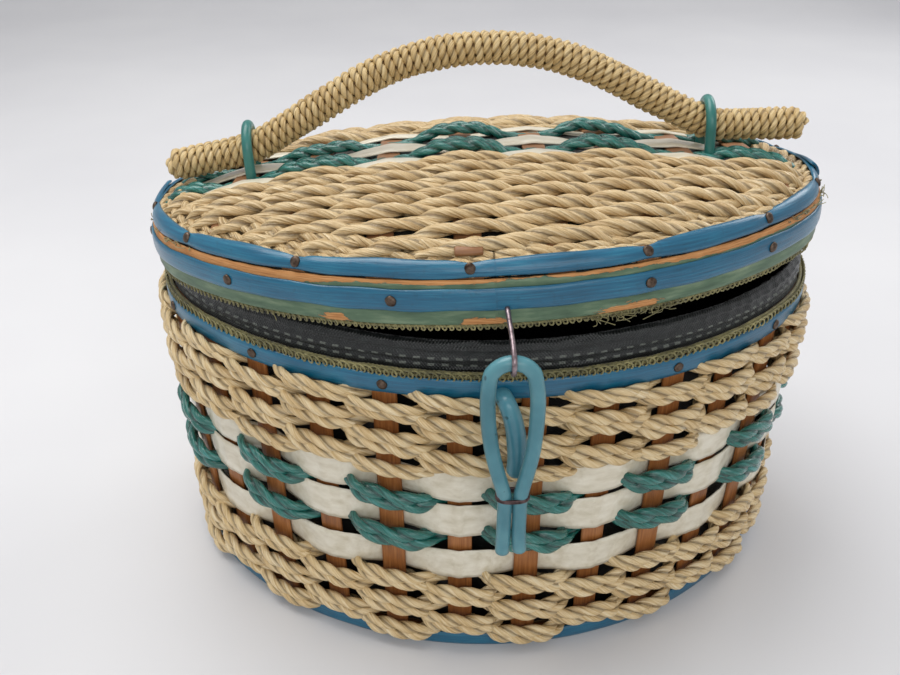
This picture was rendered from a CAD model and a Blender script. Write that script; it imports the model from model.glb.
# Looks of the oval woven sewing basket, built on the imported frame.
# All construction is in millimetres and is scaled to metres when a mesh is made.
import math
import bpy
import numpy as np
from mathutils import Matrix, Vector


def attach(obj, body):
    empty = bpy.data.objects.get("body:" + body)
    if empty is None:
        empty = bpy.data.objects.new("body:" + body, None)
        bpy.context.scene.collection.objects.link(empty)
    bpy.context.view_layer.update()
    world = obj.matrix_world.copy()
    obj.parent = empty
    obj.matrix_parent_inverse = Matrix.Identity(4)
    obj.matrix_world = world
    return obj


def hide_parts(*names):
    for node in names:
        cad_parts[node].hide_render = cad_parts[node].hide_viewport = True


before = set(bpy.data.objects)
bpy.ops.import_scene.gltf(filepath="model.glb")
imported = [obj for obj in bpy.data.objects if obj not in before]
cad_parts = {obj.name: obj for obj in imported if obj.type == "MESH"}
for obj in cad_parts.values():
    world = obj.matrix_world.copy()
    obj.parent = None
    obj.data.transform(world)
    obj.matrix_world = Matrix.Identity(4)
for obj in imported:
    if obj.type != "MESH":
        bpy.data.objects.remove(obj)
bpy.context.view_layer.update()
rng = np.random.default_rng(7)
PI = math.pi

# ---------------------------------------------------------------- dimensions
A, B, RE = 138.5, 104.0, 78.0
RS = ((A - RE) ** 2 + B * B - RE * RE) / (2 * (B - RE))
CX, CY = A - RE, RS - B
PHI = math.atan2(CY, CX)
L_SIDE, L_END = RS * (PI / 2 - PHI), RE * PHI
QTR = L_SIDE + L_END
PER = 4 * QTR
H, TAPER = 136.0, 3.0
N = 28
D = PER / N
LZ = 142.0
PIV = np.array([0.0, B, 140.0])
AJAR, SKEW = 4.6, 2.5
ALPHA = math.radians(math.hypot(AJAR, SKEW))
KAX = np.array([-AJAR, -SKEW, 0.0]) / math.hypot(AJAR, SKEW)
SHEET = 178.5
DRX = (136 ** 2 + 14 ** 2) / 28.0
DRY = (102 ** 2 + 14 ** 2) / 28.0


def oval(s, u=0.0):
    """x, y and outward normal on the oval, s from the front middle towards +X."""
    s = np.mod(np.asarray(s, float), PER)
    u = np.broadcast_to(np.asarray(u, float), s.shape)
    q = np.floor(s / QTR).astype(int)
    t0 = s - q * QTR
    t = np.where(q % 2 == 0, t0, QTR - t0)
    side = t < L_SIDE
    ang = np.where(side, t / RS, (PI / 2 - PHI) + (t - L_SIDE) / RE)
    x = np.where(side, (RS + u) * np.sin(ang), CX + (RE + u) * np.sin(ang))
    y = np.where(side, CY - (RS + u) * np.cos(ang), -(RE + u) * np.cos(ang))
    sx = np.where((q == 0) | (q == 1), 1.0, -1.0)
    sy = np.where((q == 0) | (q == 3), 1.0, -1.0)
    return x * sx, y * sy, np.sin(ang) * sx, -np.cos(ang) * sy


def U(z):
    return -TAPER * (H - np.asarray(z, float)) / H


def turned(p):
    """Closed-lid position to rest position."""
    q = np.asarray(p, float) - PIV
    c, s = math.cos(ALPHA), math.sin(ALPHA)
    out = q * c + np.cross(KAX, q) * s + np.outer(q @ KAX, KAX) * (1 - c)
    return out + PIV


def dome(x, y):
    """Height of the lid's woven surface, closed."""
    sag = DRX - np.sqrt(DRX ** 2 - np.asarray(x, float) ** 2)
    rad = DRY - sag
    return SHEET - DRY + np.sqrt(rad ** 2 - np.asarray(y, float) ** 2)


def wave(s, seed, n=5, lo=1, hi=9):
    """Smooth periodic noise round the oval, about -1..1."""
    g = np.random.default_rng(seed)
    out = np.zeros_like(np.asarray(s, float))
    for _ in range(n):
        k = g.integers(lo, hi)
        out = out + np.sin(2 * PI * k * s / PER + g.uniform(0, 2 * PI)) * g.uniform(0.4, 1)
    return out / (0.55 * n)


# ---------------------------------------------------------------- mesh builder
class Mesh:
    def __init__(self):
        self.v, self.f, self.a, self.n = [], [], [], 0

    def grid(self, pts, attr, closed_i=False, closed_j=True, flip=False):
        """pts is (ni, nj, 3); attr is (ni, nj, 3)."""
        ni, nj = pts.shape[:2]
        base = self.n
        self.v.append(pts.reshape(-1, 3))
        self.a.append(np.broadcast_to(attr, pts.shape).reshape(-1, 3))
        self.n += ni * nj
        ii = np.arange(ni if closed_i else ni - 1)
        jj = np.arange(nj if closed_j else nj - 1)
        I, J = np.meshgrid(ii, jj, indexing="ij")
        I2, J2 = (I + 1) % ni, (J + 1) % nj
        quad = np.stack([I * nj + J, I * nj + J2, I2 * nj + J2, I2 * nj + J], -1).reshape(-1, 4) + base
        self.f.append(quad[:, ::-1] if flip else quad)
        return base

    def cap(self, ring, centre, attr, flip=False):
        """Fan from a ring of vertex numbers to a centre point."""
        c = self.n
        self.v.append(np.asarray(centre, float).reshape(1, 3))
        self.a.append(np.asarray(attr, float).reshape(1, 3))
        self.n += 1
        r = np.asarray(ring)
        tri = np.stack([r, np.roll(r, -1), np.full(len(r), c)], -1)
        if flip:
            tri = tri[:, ::-1]
        self.f.append(tri)

    def obj(self, name, mats, body, reps=(), turn=False, smooth=True):
        v = np.concatenate(self.v)
        if turn:
            v = turned(v)
        me = bpy.data.meshes.new(name)
        faces = [row for arr in self.f for row in arr.tolist()]
        me.from_pydata((v / 1000.0).tolist(), [], faces)
        at = me.attributes.new("p", "FLOAT_VECTOR", "POINT")
        at.data.foreach_set("vector", np.concatenate(self.a).astype(np.float32).ravel())
        me.validate()
        me.update()
        if smooth:
            me.polygons.foreach_set("use_smooth", [True] * len(me.polygons))
        o = bpy.data.objects.new(name, me)
        bpy.context.scene.collection.objects.link(o)
        for m in mats if isinstance(mats, (list, tuple)) else [mats]:
            me.materials.append(m)
        import bmesh
        bm = bmesh.new()
        bm.from_mesh(me)
        bmesh.ops.recalc_face_normals(bm, faces=bm.faces)
        bm.to_mesh(me)
        bm.free()
        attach(o, body)
        if reps:
            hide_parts(*reps)
        return o


def frames(path, up):
    """Unit tangent, normal (near up) and side vectors along a path."""
    t = np.gradient(path, axis=0)
    t /= np.linalg.norm(t, axis=1, keepdims=True) + 1e-12
    n = up - np.sum(up * t, 1, keepdims=True) * t
    n /= np.linalg.norm(n, axis=1, keepdims=True) + 1e-12
    return t, n, np.cross(t, n)


def closed_frames(path, up):
    t = np.roll(path, -1, 0) - np.roll(path, 1, 0)
    t /= np.linalg.norm(t, axis=1, keepdims=True) + 1e-12
    n = up - np.sum(up * t, 1, keepdims=True) * t
    n /= np.linalg.norm(n, axis=1, keepdims=True) + 1e-12
    return t, n, np.cross(t, n)


def arclen(path, closed=False):
    q = np.vstack([path, path[:1]]) if closed else path
    d = np.linalg.norm(np.diff(q, axis=0), axis=1)
    c = np.concatenate([[0], np.cumsum(d)])
    return (c[:-1], c[-1]) if closed else (c, c[-1])


def cord(m, path, up, R, pitch, phase=0.0, sides=12, closed=True, rid=0.0, flat=1.0, plies=2):
    """A twisted cord of two plies: the section has two lobes that turn along the path."""
    path = np.asarray(path, float)
    t, n, b = closed_frames(path, up) if closed else frames(path, up)
    L, tot = arclen(path, closed)
    if closed:
        turns = max(1, round(tot / pitch * 2)) / 2 if plies == 2 else round(tot / pitch)
        pitch = tot / turns
    R = np.broadcast_to(np.asarray(R, float), L.shape)
    th = np.linspace(0, 2 * PI, sides, endpoint=False)
    ph = 2 * PI * L / pitch + phase
    rel = th[None, :] - ph[:, None]
    if plies == 2:
        a, d = 0.66, 0.34
        c = np.abs(np.cos(rel))
        r = d * c + np.sqrt(np.maximum(a * a - (d * np.sin(rel)) ** 2, 0.02))
        r = np.where(c < 0.2, r * 0.84, r)
    else:
        r = 0.88 + 0.12 * np.cos(plies * rel)
    r = r * R[:, None]
    pts = path[:, None, :] + n[:, None, :] * (np.cos(th)[None, :, None] * r[..., None] * flat) \
        + b[:, None, :] * (np.sin(th)[None, :, None] * r[..., None])
    att = np.empty(pts.shape)
    att[..., 0] = L[:, None]
    att[..., 1] = np.cos(rel)
    att[..., 2] = np.sin(rel) + 4.0 * round(rid * 10)
    base = m.grid(pts, att, closed_i=closed, closed_j=True)
    if not closed:
        k = sides
        m.cap(base + np.arange(k), path[0] - t[0] * R[0] * 0.5, att[0, 0], flip=True)
        m.cap(base + (len(L) - 1) * k + np.arange(k), path[-1] + t[-1] * R[-1] * 0.5, att[-1, 0])
    return base


def tube(m, path, up, R, sides=20, rid=0.0, round_ends=True):
    """A plain round tube with domed ends."""
    path = np.asarray(path, float)
    t, n, b = frames(path, up)
    L, tot = arclen(path)
    R = np.broadcast_to(np.asarray(R, float), L.shape).copy()
    if round_ends:
        k = 5
        e = []
        for i in range(k):
            a = PI / 2 * i / k
            e.append((math.sin(a), math.cos(a)))
        p0 = np.array([path[0] - t[0] * R[0] * 0.8 * c for s, c in e])
        p1 = np.array([path[-1] + t[-1] * R[-1] * 0.8 * c for s, c in e[::-1]])
        r0 = np.array([max(R[0] * s, R[0] * 0.1) for s, c in e])
        r1 = np.array([max(R[-1] * s, R[-1] * 0.1) for s, c in e[::-1]])
        path = np.vstack([p0, path, p1])
        n = np.vstack([np.repeat(n[:1], k, 0), n, np.repeat(n[-1:], k, 0)])
        b = np.vstack([np.repeat(b[:1], k, 0), b, np.repeat(b[-1:], k, 0)])
        t = np.vstack([np.repeat(t[:1], k, 0), t, np.repeat(t[-1:], k, 0)])
        R = np.concatenate([r0, R, r1])
        L, tot = arclen(path)
    th = np.linspace(0, 2 * PI, sides, endpoint=False)
    pts = path[:, None, :] + (n[:, None, :] * np.cos(th)[None, :, None] + b[:, None, :] * np.sin(th)[None, :, None]) * R[:, None, None]
    att = np.empty(pts.shape)
    att[..., 0] = L[:, None]
    att[..., 1] = th[None, :] / (2 * PI)
    att[..., 2] = rid
    base = m.grid(pts, att)
    m.cap(base + np.arange(sides), path[0] - t[0] * R[0] * 0.3, att[0, 0], flip=True)
    m.cap(base + (len(L) - 1) * sides + np.arange(sides), path[-1] + t[-1] * R[-1] * 0.3, att[-1, 0])
    return base


def smooth_path(ctrl, n=60, closed=False):
    """Catmull-Rom through control points, evenly stepped."""
    P = np.asarray(ctrl, float)
    Q = np.vstack([2 * P[0] - P[1], P, 2 * P[-1] - P[-2]])
    out = []
    for i in range(len(P) - 1):
        p0, p1, p2, p3 = Q[i:i + 4]
        for t in np.linspace(0, 1, 24, endpoint=False):
            out.append(0.5 * ((2 * p1) + (-p0 + p2) * t + (2 * p0 - 5 * p1 + 4 * p2 - p3) * t * t + (-p0 + 3 * p1 - 3 * p2 + p3) * t ** 3))
    out.append(P[-1])
    out = np.array(out)
    L, tot = arclen(out)
    s = np.linspace(0, tot, n)
    return np.stack([np.interp(s, L, out[:, k]) for k in range(3)], -1)


def ribbon_ring(m, prof, s, rid=0.0, closed=True):
    """prof(s) gives (M, 2, len(s)) closed profile points in (u, z); s in mm."""
    pr = prof(s)
    M = pr.shape[0]
    pts = np.empty((len(s), M, 3))
    att = np.empty((len(s), M, 3))
    for j in range(M):
        x, y, nx, ny = oval(s, pr[j, 0])
        pts[:, j, 0], pts[:, j, 1], pts[:, j, 2] = x, y, pr[j, 1]
        att[:, j, 0] = s
        att[:, j, 1] = pr[j, 1]
        att[:, j, 2] = pr[j, 0]
    base = m.grid(pts, att, closed_i=closed)
    if not closed:
        m.cap(base + np.arange(M), pts[0].mean(0), att[0].mean(0), flip=True)
        m.cap(base + (len(s) - 1) * M + np.arange(M), pts[-1].mean(0), att[-1].mean(0))
    return base


# ---------------------------------------------------------------- materials
def node_mat(name):
    mat = bpy.data.materials.new(name)
    mat.use_nodes = True
    nt = mat.node_tree
    nt.nodes.clear()
    out = nt.nodes.new("ShaderNodeOutputMaterial")
    bs = nt.nodes.new("ShaderNodeBsdfPrincipled")
    nt.links.new(bs.outputs[0], out.inputs[0])
    return mat, nt, bs


def add(nt, kind, **kw):
    n = nt.nodes.new(kind)
    for k, v in kw.items():
        if k.startswith("in_"):
            key = k[3:]
            key = int(key) if key.isdigit() else key.replace("_", " ")
            n.inputs[key].default_value = v
        else:
            setattr(n, k, v)
    return n


def link(nt, a, b):
    nt.links.new(a, b)


def ramp(nt, fac, stops):
    r = nt.nodes.new("ShaderNodeValToRGB")
    el = r.color_ramp.elements
    while len(el) > 1:
        el.remove(el[-1])
    el[0].position, el[0].color = stops[0][0], (*stops[0][1], 1)
    for p, c in stops[1:]:
        e = el.new(p)
        e.color = (*c, 1)
    link(nt, fac, r.inputs[0])
    return r


def srgb(r, g, b):
    def f(c):
        c /= 255.0
        return c / 12.92 if c <= 0.04045 else ((c + 0.055) / 1.055) ** 2.4
    return (f(r), f(g), f(b))


def math_node(nt, op, a, b=None, clamp=False):
    n = nt.nodes.new("ShaderNodeMath")
    n.operation = op
    n.use_clamp = clamp
    for i, x in enumerate((a, b)):
        if x is None:
            continue
        if isinstance(x, (int, float)):
            n.inputs[i].default_value = x
        else:
            link(nt, x, n.inputs[i])
    return n.outputs[0]


def mix_rgb(nt, fac, a, b, blend="MIX"):
    n = nt.nodes.new("ShaderNodeMix")
    n.data_type = "RGBA"
    n.blend_type = blend
    for sock, x in ((n.inputs[0], fac), (n.inputs[6], a), (n.inputs[7], b)):
        if isinstance(x, (int, float)):
            sock.default_value = x
        elif isinstance(x, tuple):
            sock.default_value = (*x, 1)
        else:
            link(nt, x, sock)
    return n.outputs[2]


def bump(nt, bs, height, strength, dist=0.0004):
    b = nt.nodes.new("ShaderNodeBump")
    b.inputs["Strength"].default_value = strength
    b.inputs["Distance"].default_value = dist
    link(nt, height, b.inputs["Height"])
    link(nt, b.outputs[0], bs.inputs["Normal"])
    return b


def attr(nt):
    a = nt.nodes.new("ShaderNodeAttribute")
    a.attribute_name = "p"
    sx = nt.nodes.new("ShaderNodeSeparateXYZ")
    link(nt, a.outputs["Vector"], sx.inputs[0])
    return sx.outputs[0], sx.outputs[1], sx.outputs[2], a.outputs["Vector"]


def combine(nt, x, y, z):
    c = nt.nodes.new("ShaderNodeCombineXYZ")
    for i, v in enumerate((x, y, z)):
        if isinstance(v, (int, float)):
            c.inputs[i].default_value = v
        else:
            link(nt, v, c.inputs[i])
    return c.outputs[0]


def noise(nt, vec, scale, detail=3.0, rough=0.55, dist=0.0):
    n = nt.nodes.new("ShaderNodeTexNoise")
    n.inputs["Scale"].default_value = scale
    n.inputs["Detail"].default_value = detail
    n.inputs["Roughness"].default_value = rough
    n.inputs["Distortion"].default_value = dist
    if vec is not None:
        link(nt, vec, n.inputs["Vector"])
    return n.outputs["Fac"]


def geo_pos(nt):
    tc = nt.nodes.new("ShaderNodeTexCoord")
    return tc.outputs["Object"]


def cord_mat(name, stops, rough, spec=0.5, fibre=0.5, coat=0.0, glint=0.0, strands=1.5):
    """Twisted cord: fibres follow the plies, each ply a little different, dark seams."""
    mat, nt, bs = node_mat(name)
    L, cs_, q_, vec = attr(nt)
    num = math_node(nt, "ROUND", math_node(nt, "MULTIPLY", q_, 0.25), 0.0)
    sn_ = math_node(nt, "SUBTRACT", q_, math_node(nt, "MULTIPLY", num, 4.0))
    rid = math_node(nt, "MULTIPLY", num, 0.1)
    # 0 on top of a ply, .5 in the groove between two
    seam = math_node(nt, "MULTIPLY", math_node(nt, "ARCCOSINE", math_node(nt, "MINIMUM", math_node(nt, "ABSOLUTE", cs_, 0.0), 1.0), 0.0), 1 / PI)
    lr = math_node(nt, "ADD", math_node(nt, "MULTIPLY", L, 0.16), math_node(nt, "MULTIPLY", rid, 7.3))
    fib = noise(nt, combine(nt, lr, math_node(nt, "MULTIPLY", cs_, 5.0), math_node(nt, "MULTIPLY", sn_, 5.0)), 1.0, 4.0, 0.6)
    ls = math_node(nt, "ADD", math_node(nt, "MULTIPLY", L, 0.06), math_node(nt, "MULTIPLY", rid, 3.1))
    strand = noise(nt, combine(nt, ls, math_node(nt, "MULTIPLY", cs_, 2.1), math_node(nt, "MULTIPLY", sn_, 2.1)), 1.0, 1.0, 0.5)
    big = noise(nt, combine(nt, math_node(nt, "MULTIPLY", L, 0.07), math_node(nt, "MULTIPLY", rid, 3.1), 0.0), 1.0, 2.0)
    val = math_node(nt, "ADD", math_node(nt, "MULTIPLY", fib, 0.42), math_node(nt, "ADD", math_node(nt, "MULTIPLY", strand, 0.36), math_node(nt, "MULTIPLY", big, 0.22)))
    col = ramp(nt, val, stops).outputs[0]
    dark = nt.nodes.new("ShaderNodeMapRange")
    dark.inputs["From Min"].default_value = 0.30
    dark.inputs["From Max"].default_value = 0.5
    link(nt, seam, dark.inputs["Value"])
    col = mix_rgb(nt, math_node(nt, "MULTIPLY", dark.outputs[0], 0.72), col, tuple(c * 0.30 for c in stops[0][1]))
    link(nt, col, bs.inputs["Base Color"])
    rr = nt.nodes.new("ShaderNodeMapRange")
    rr.inputs["To Min"].default_value = rough - 0.12
    rr.inputs["To Max"].default_value = rough + 0.18
    link(nt, fib, rr.inputs["Value"])
    if glint:
        g = noise(nt, combine(nt, math_node(nt, "MULTIPLY", L, 0.16), cs_, math_node(nt, "ADD", sn_, math_node(nt, "MULTIPLY", rid, 3.3))), 1.0, 2.0)
        gm = math_node(nt, "GREATER_THAN", g, 0.62)
        r2 = math_node(nt, "SUBTRACT", rr.outputs[0], math_node(nt, "MULTIPLY", gm, glint))
        link(nt, r2, bs.inputs["Roughness"])
    else:
        link(nt, rr.outputs[0], bs.inputs["Roughness"])
    bs.inputs["Specular IOR Level"].default_value = spec
    bs.inputs["Coat Weight"].default_value = coat
    bs.inputs["Coat Roughness"].default_value = 0.2
    hgt_ = math_node(nt, "ADD", math_node(nt, "MULTIPLY", fib, 0.6), math_node(nt, "MULTIPLY", strand, strands))
    bump(nt, bs, math_node(nt, "SUBTRACT", hgt_, math_node(nt, "MULTIPLY", dark.outputs[0], 0.6)), fibre, 0.0009)
    return mat


NAT = [(0.30, srgb(146, 112, 66)), (0.44, srgb(204, 174, 122)), (0.54, srgb(226, 202, 156)), (0.68, srgb(244, 230, 198))]
NAT_LID = [(0.30, srgb(140, 108, 66)), (0.44, srgb(190, 160, 112)), (0.54, srgb(212, 186, 140)), (0.68, srgb(236, 218, 182))]
ROPE = [(0.30, srgb(138, 104, 58)), (0.44, srgb(190, 160, 106)), (0.54, srgb(214, 188, 136)), (0.68, srgb(236, 216, 172))]
TEAL = [(0.30, srgb(6, 54, 48)), (0.44, srgb(20, 90, 80)), (0.55, srgb(36, 116, 106)), (0.70, srgb(92, 164, 164))]
m_nat = cord_mat("natural_cord_body", NAT, 0.40, 0.6, 0.6, 0.0, 0.2, 1.6)
m_nat_lid = cord_mat("natural_cord_lid", NAT_LID, 0.43, 0.6, 0.75, 0.0, 0.2, 2.4)
m_rope = cord_mat("handle_rope", ROPE, 0.46, 0.5, 0.5, 0.0, 0.12, 1.0)
m_teal = cord_mat("teal_cord", TEAL, 0.24, 0.6, 0.4, 0.35, 0.08, 1.2)


def vinyl_mat():
    mat, nt, bs = node_mat("white_vinyl")
    L, z, r, vec = attr(nt)
    pos = geo_pos(nt)
    g = noise(nt, pos, 900.0, 3.0, 0.6)
    big = noise(nt, combine(nt, math_node(nt, "MULTIPLY", L, 0.06), math_node(nt, "MULTIPLY", z, 0.2), r), 1.3, 3.0)
    col = ramp(nt, big, [(0.25, srgb(198, 188, 162)), (0.5, srgb(217, 209, 188)), (0.75, srgb(231, 225, 207))]).outputs[0]
    link(nt, col, bs.inputs["Base Color"])
    bs.inputs["Roughness"].default_value = 0.3
    bs.inputs["Specular IOR Level"].default_value = 0.6
    bs.inputs["Coat Weight"].default_value = 0.25
    bs.inputs["Coat Roughness"].default_value = 0.25
    bump(nt, bs, math_node(nt, "ADD", math_node(nt, "MULTIPLY", g, 0.5), math_node(nt, "MULTIPLY", big, 0.35)), 0.2, 0.0004)
    return mat


m_white = vinyl_mat()


def wood_mat(name, stops, along="z", rough=0.5):
    mat, nt, bs = node_mat(name)
    pos = geo_pos(nt)
    mp = nt.nodes.new("ShaderNodeMapping")
    mp.inputs["Scale"].default_value = (1500, 1500, 40) if along == "z" else (30, 700, 700)
    link(nt, pos, mp.inputs[0])
    g = noise(nt, mp.outputs[0], 1.0, 4.0, 0.65)
    b2 = noise(nt, pos, 60.0, 2.0)
    val = math_node(nt, "ADD", math_node(nt, "MULTIPLY", g, 0.65), math_node(nt, "MULTIPLY", b2, 0.35))
    link(nt, ramp(nt, val, stops).outputs[0], bs.inputs["Base Color"])
    bs.inputs["Roughness"].default_value = rough
    bump(nt, bs, g, 0.4, 0.0004)
    return mat


STK = [(0.25, srgb(92, 52, 22)), (0.5, srgb(152, 94, 46)), (0.75, srgb(188, 128, 74))]
m_stake = wood_mat("stake_wood", STK)
m_stake_lid = wood_mat("lid_stake_wood", [(0.25, srgb(104, 66, 40)), (0.5, srgb(146, 102, 66)), (0.75, srgb(180, 138, 98))], "x")
m_board = wood_mat("board_wood", [(0.25, srgb(120, 84, 52)), (0.5, srgb(165, 124, 84)), (0.75, srgb(196, 160, 120))], "x", 0.7)
m_hoop_in = wood_mat("inner_hoop_wood", STK, "x", 0.6)


def blue_mat():
    mat, nt, bs = node_mat("blue_plastic_strip")
    L, z, r, vec = attr(nt)
    pos = geo_pos(nt)
    st = noise(nt, combine(nt, math_node(nt, "MULTIPLY", L, 0.035), math_node(nt, "MULTIPLY", z, 0.9), 0.0), 1.6, 4.0, 0.6)
    big = noise(nt, combine(nt, math_node(nt, "MULTIPLY", L, 0.02), 0.0, 3.0), 1.5, 2.0)
    fine = noise(nt, pos, 420.0, 3.0)
    val = math_node(nt, "ADD", math_node(nt, "MULTIPLY", st, 0.6), math_node(nt, "MULTIPLY", big, 0.4))
    col = ramp(nt, val, [(0.25, srgb(2, 64, 88)), (0.46, srgb(6, 90, 122)), (0.60, srgb(20, 108, 138)), (0.78, srgb(72, 140, 162))]).outputs[0]
    grime = nt.nodes.new("ShaderNodeMapRange")
    grime.inputs["From Min"].default_value = 0.58
    grime.inputs["From Max"].default_value = 0.8
    link(nt, fine, grime.inputs["Value"])
    col = mix_rgb(nt, math_node(nt, "MULTIPLY", grime.outputs[0], 0.35), col, srgb(20, 52, 66))
    link(nt, col, bs.inputs["Base Color"])
    rr = nt.nodes.new("ShaderNodeMapRange")
    rr.inputs["To Min"].default_value = 0.22
    rr.inputs["To Max"].default_value = 0.42
    link(nt, st, rr.inputs["Value"])
    link(nt, rr.outputs[0], bs.inputs["Roughness"])
    bs.inputs["Specular IOR Level"].default_value = 0.6
    bs.inputs["Coat Weight"].default_value = 0.15
    bump(nt, bs, st, 0.25, 0.0008)
    return mat


m_blue = blue_mat()


def tube_mat(name, c0, c1, c2, rough=0.28):
    mat, nt, bs = node_mat(name)
    pos = geo_pos(nt)
    b = noise(nt, pos, 45.0, 3.0)
    sp = noise(nt, pos, 260.0, 2.0)
    col = ramp(nt, b, [(0.3, c0), (0.52, c1), (0.75, c2)]).outputs[0]
    m = nt.nodes.new("ShaderNodeMapRange")
    m.inputs["From Min"].default_value = 0.70
    m.inputs["From Max"].default_value = 0.76
    link(nt, sp, m.inputs["Value"])
    col = mix_rgb(nt, math_node(nt, "MULTIPLY", m.outputs[0], 0.7), col, srgb(30, 60, 66))
    link(nt, col, bs.inputs["Base Color"])
    bs.inputs["Roughness"].default_value = rough
    bs.inputs["Subsurface Weight"].default_value = 0.12
    bs.inputs["Subsurface Radius"].default_value = (0.002, 0.003, 0.003)
    bs.inputs["Specular IOR Level"].default_value = 0.5
    bump(nt, bs, b, 0.12, 0.001)
    return mat


m_clasp = tube_mat("clasp_tube", srgb(58, 112, 124), srgb(76, 132, 144), srgb(104, 156, 164))
m_loop = tube_mat("teal_tube", srgb(24, 88, 84), srgb(44, 112, 106), srgb(84, 146, 138), 0.32)
m_peg = tube_mat("peg_tube", srgb(54, 110, 126), srgb(72, 130, 146), srgb(100, 156, 168))


def hoop_mat():
    """Green paint, worn to orange wood where the mesh's wear value is high."""
    mat, nt, bs = node_mat("worn_painted_hoop")
    L, z, wear, vec = attr(nt)
    n1 = noise(nt, combine(nt, math_node(nt, "MULTIPLY", L, 0.16), math_node(nt, "MULTIPLY", z, 0.7), 0.0), 1.0, 6.0, 0.66, 0.4)
    w = math_node(nt, "ADD", wear, math_node(nt, "MULTIPLY", math_node(nt, "SUBTRACT", n1, 0.5), 1.15))
    edge = nt.nodes.new("ShaderNodeMapRange")
    edge.inputs["From Min"].default_value = 0.49
    edge.inputs["From Max"].default_value = 0.53
    link(nt, w, edge.inputs["Value"])
    grain = noise(nt, combine(nt, math_node(nt, "MULTIPLY", L, 0.12), math_node(nt, "MULTIPLY", z, 3.2), 5.0), 1.0, 4.0, 0.6)
    wood = ramp(nt, grain, [(0.25, srgb(140, 88, 44)), (0.5, srgb(190, 132, 76)), (0.75, srgb(216, 166, 112))]).outputs[0]
    pn = noise(nt, combine(nt, math_node(nt, "MULTIPLY", L, 0.07), math_node(nt, "MULTIPLY", z, 0.35), 9.0), 1.0, 4.0)
    paint = ramp(nt, pn, [(0.25, srgb(58, 84, 62)), (0.5, srgb(86, 112, 86)), (0.75, srgb(128, 146, 116))]).outputs[0]
    rim = nt.nodes.new("ShaderNodeMapRange")
    rim.inputs["From Min"].default_value = 0.44
    rim.inputs["From Max"].default_value = 0.5
    link(nt, w, rim.inputs["Value"])
    paint = mix_rgb(nt, math_node(nt, "MULTIPLY", rim.outputs[0], 0.7), paint, srgb(30, 70, 62))
    col = mix_rgb(nt, edge.outputs[0], paint, wood)
    link(nt, col, bs.inputs["Base Color"])
    link(nt, math_node(nt, "ADD", 0.45, math_node(nt, "MULTIPLY", edge.outputs[0], 0.25)), bs.inputs["Roughness"])
    hh = math_node(nt, "ADD", math_node(nt, "MULTIPLY", edge.outputs[0], -1.0), math_node(nt, "MULTIPLY", grain, 0.3))
    bump(nt, bs, hh, 0.5, 0.0005)
    return mat


m_hoop = hoop_mat()


def gimp_mat():
    mat, nt, bs = node_mat("looped_braid")
    pos = geo_pos(nt)
    n = noise(nt, pos, 380.0, 4.0)
    b = noise(nt, pos, 40.0, 2.0)
    v = math_node(nt, "ADD", math_node(nt, "MULTIPLY", n, 0.55), math_node(nt, "MULTIPLY", b, 0.45))
    link(nt, ramp(nt, v, [(0.28, srgb(62, 60, 34)), (0.5, srgb(122, 116, 72)), (0.74, srgb(176, 166, 112))]).outputs[0], bs.inputs["Base Color"])
    bs.inputs["Roughness"].default_value = 0.62
    bs.inputs["Sheen Weight"].default_value = 0.2
    bump(nt, bs, n, 0.5, 0.0004)
    return mat


m_gimp = gimp_mat()


def lining_mat():
    """Dark woven lining, a fine mesh of threads with a slight gloss."""
    mat, nt, bs = node_mat("quilted_lining")
    L, z, r, vec = attr(nt)
    wv1 = math_node(nt, "SINE", math_node(nt, "MULTIPLY", L, 5.2))
    wv2 = math_node(nt, "SINE", math_node(nt, "MULTIPLY", z, 5.2))
    wv = math_node(nt, "MULTIPLY", wv1, wv2)
    n = noise(nt, vec, 0.35, 4.0, 0.6)
    fine = noise(nt, vec, 2.4, 2.0)
    v = math_node(nt, "ADD", math_node(nt, "ADD", math_node(nt, "MULTIPLY", n, 0.5), math_node(nt, "MULTIPLY", wv, 0.10)), math_node(nt, "MULTIPLY", fine, 0.42))
    col = ramp(nt, v, [(0.34, srgb(6, 8, 8)), (0.52, srgb(18, 23, 22)), (0.66, srgb(34, 42, 39)), (0.82, srgb(84, 98, 90))]).outputs[0]
    # two rows of short shiny stitches run round the collar
    fr_ = math_node(nt, "FRACT", math_node(nt, "MULTIPLY", L, 1 / 5.1))
    on = math_node(nt, "MULTIPLY", math_node(nt, "GREATER_THAN", fr_, 0.3), math_node(nt, "LESS_THAN", fr_, 0.78))
    r1_ = math_node(nt, "LESS_THAN", math_node(nt, "ABSOLUTE", math_node(nt, "SUBTRACT", z, 140.2)), 0.42)
    r2_ = math_node(nt, "LESS_THAN", math_node(nt, "ABSOLUTE", math_node(nt, "SUBTRACT", z, 142.9)), 0.38)
    st_ = math_node(nt, "MULTIPLY", on, math_node(nt, "ADD", r1_, r2_))
    col = mix_rgb(nt, math_node(nt, "MULTIPLY", st_, math_node(nt, "MULTIPLY", fine, 0.75)), col, srgb(140, 146, 136))
    link(nt, col, bs.inputs["Base Color"])
    bs.inputs["Roughness"].default_value = 0.34
    bs.inputs["Specular IOR Level"].default_value = 0.5
    bs.inputs["Sheen Weight"].default_value = 0.1
    bump(nt, bs, math_node(nt, "ADD", wv, fine), 0.35, 0.0003)
    return mat


m_lining = lining_mat()


def metal_mat(name, c0, c1, rough):
    mat, nt, bs = node_mat(name)
    pos = geo_pos(nt)
    n = noise(nt, pos, 500.0, 3.0)
    link(nt, ramp(nt, n, [(0.3, c0), (0.7, c1)]).outputs[0], bs.inputs["Base Color"])
    bs.inputs["Metallic"].default_value = 0.85
    bs.inputs["Roughness"].default_value = rough
    bump(nt, bs, n, 0.3, 0.0003)
    return mat


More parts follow.
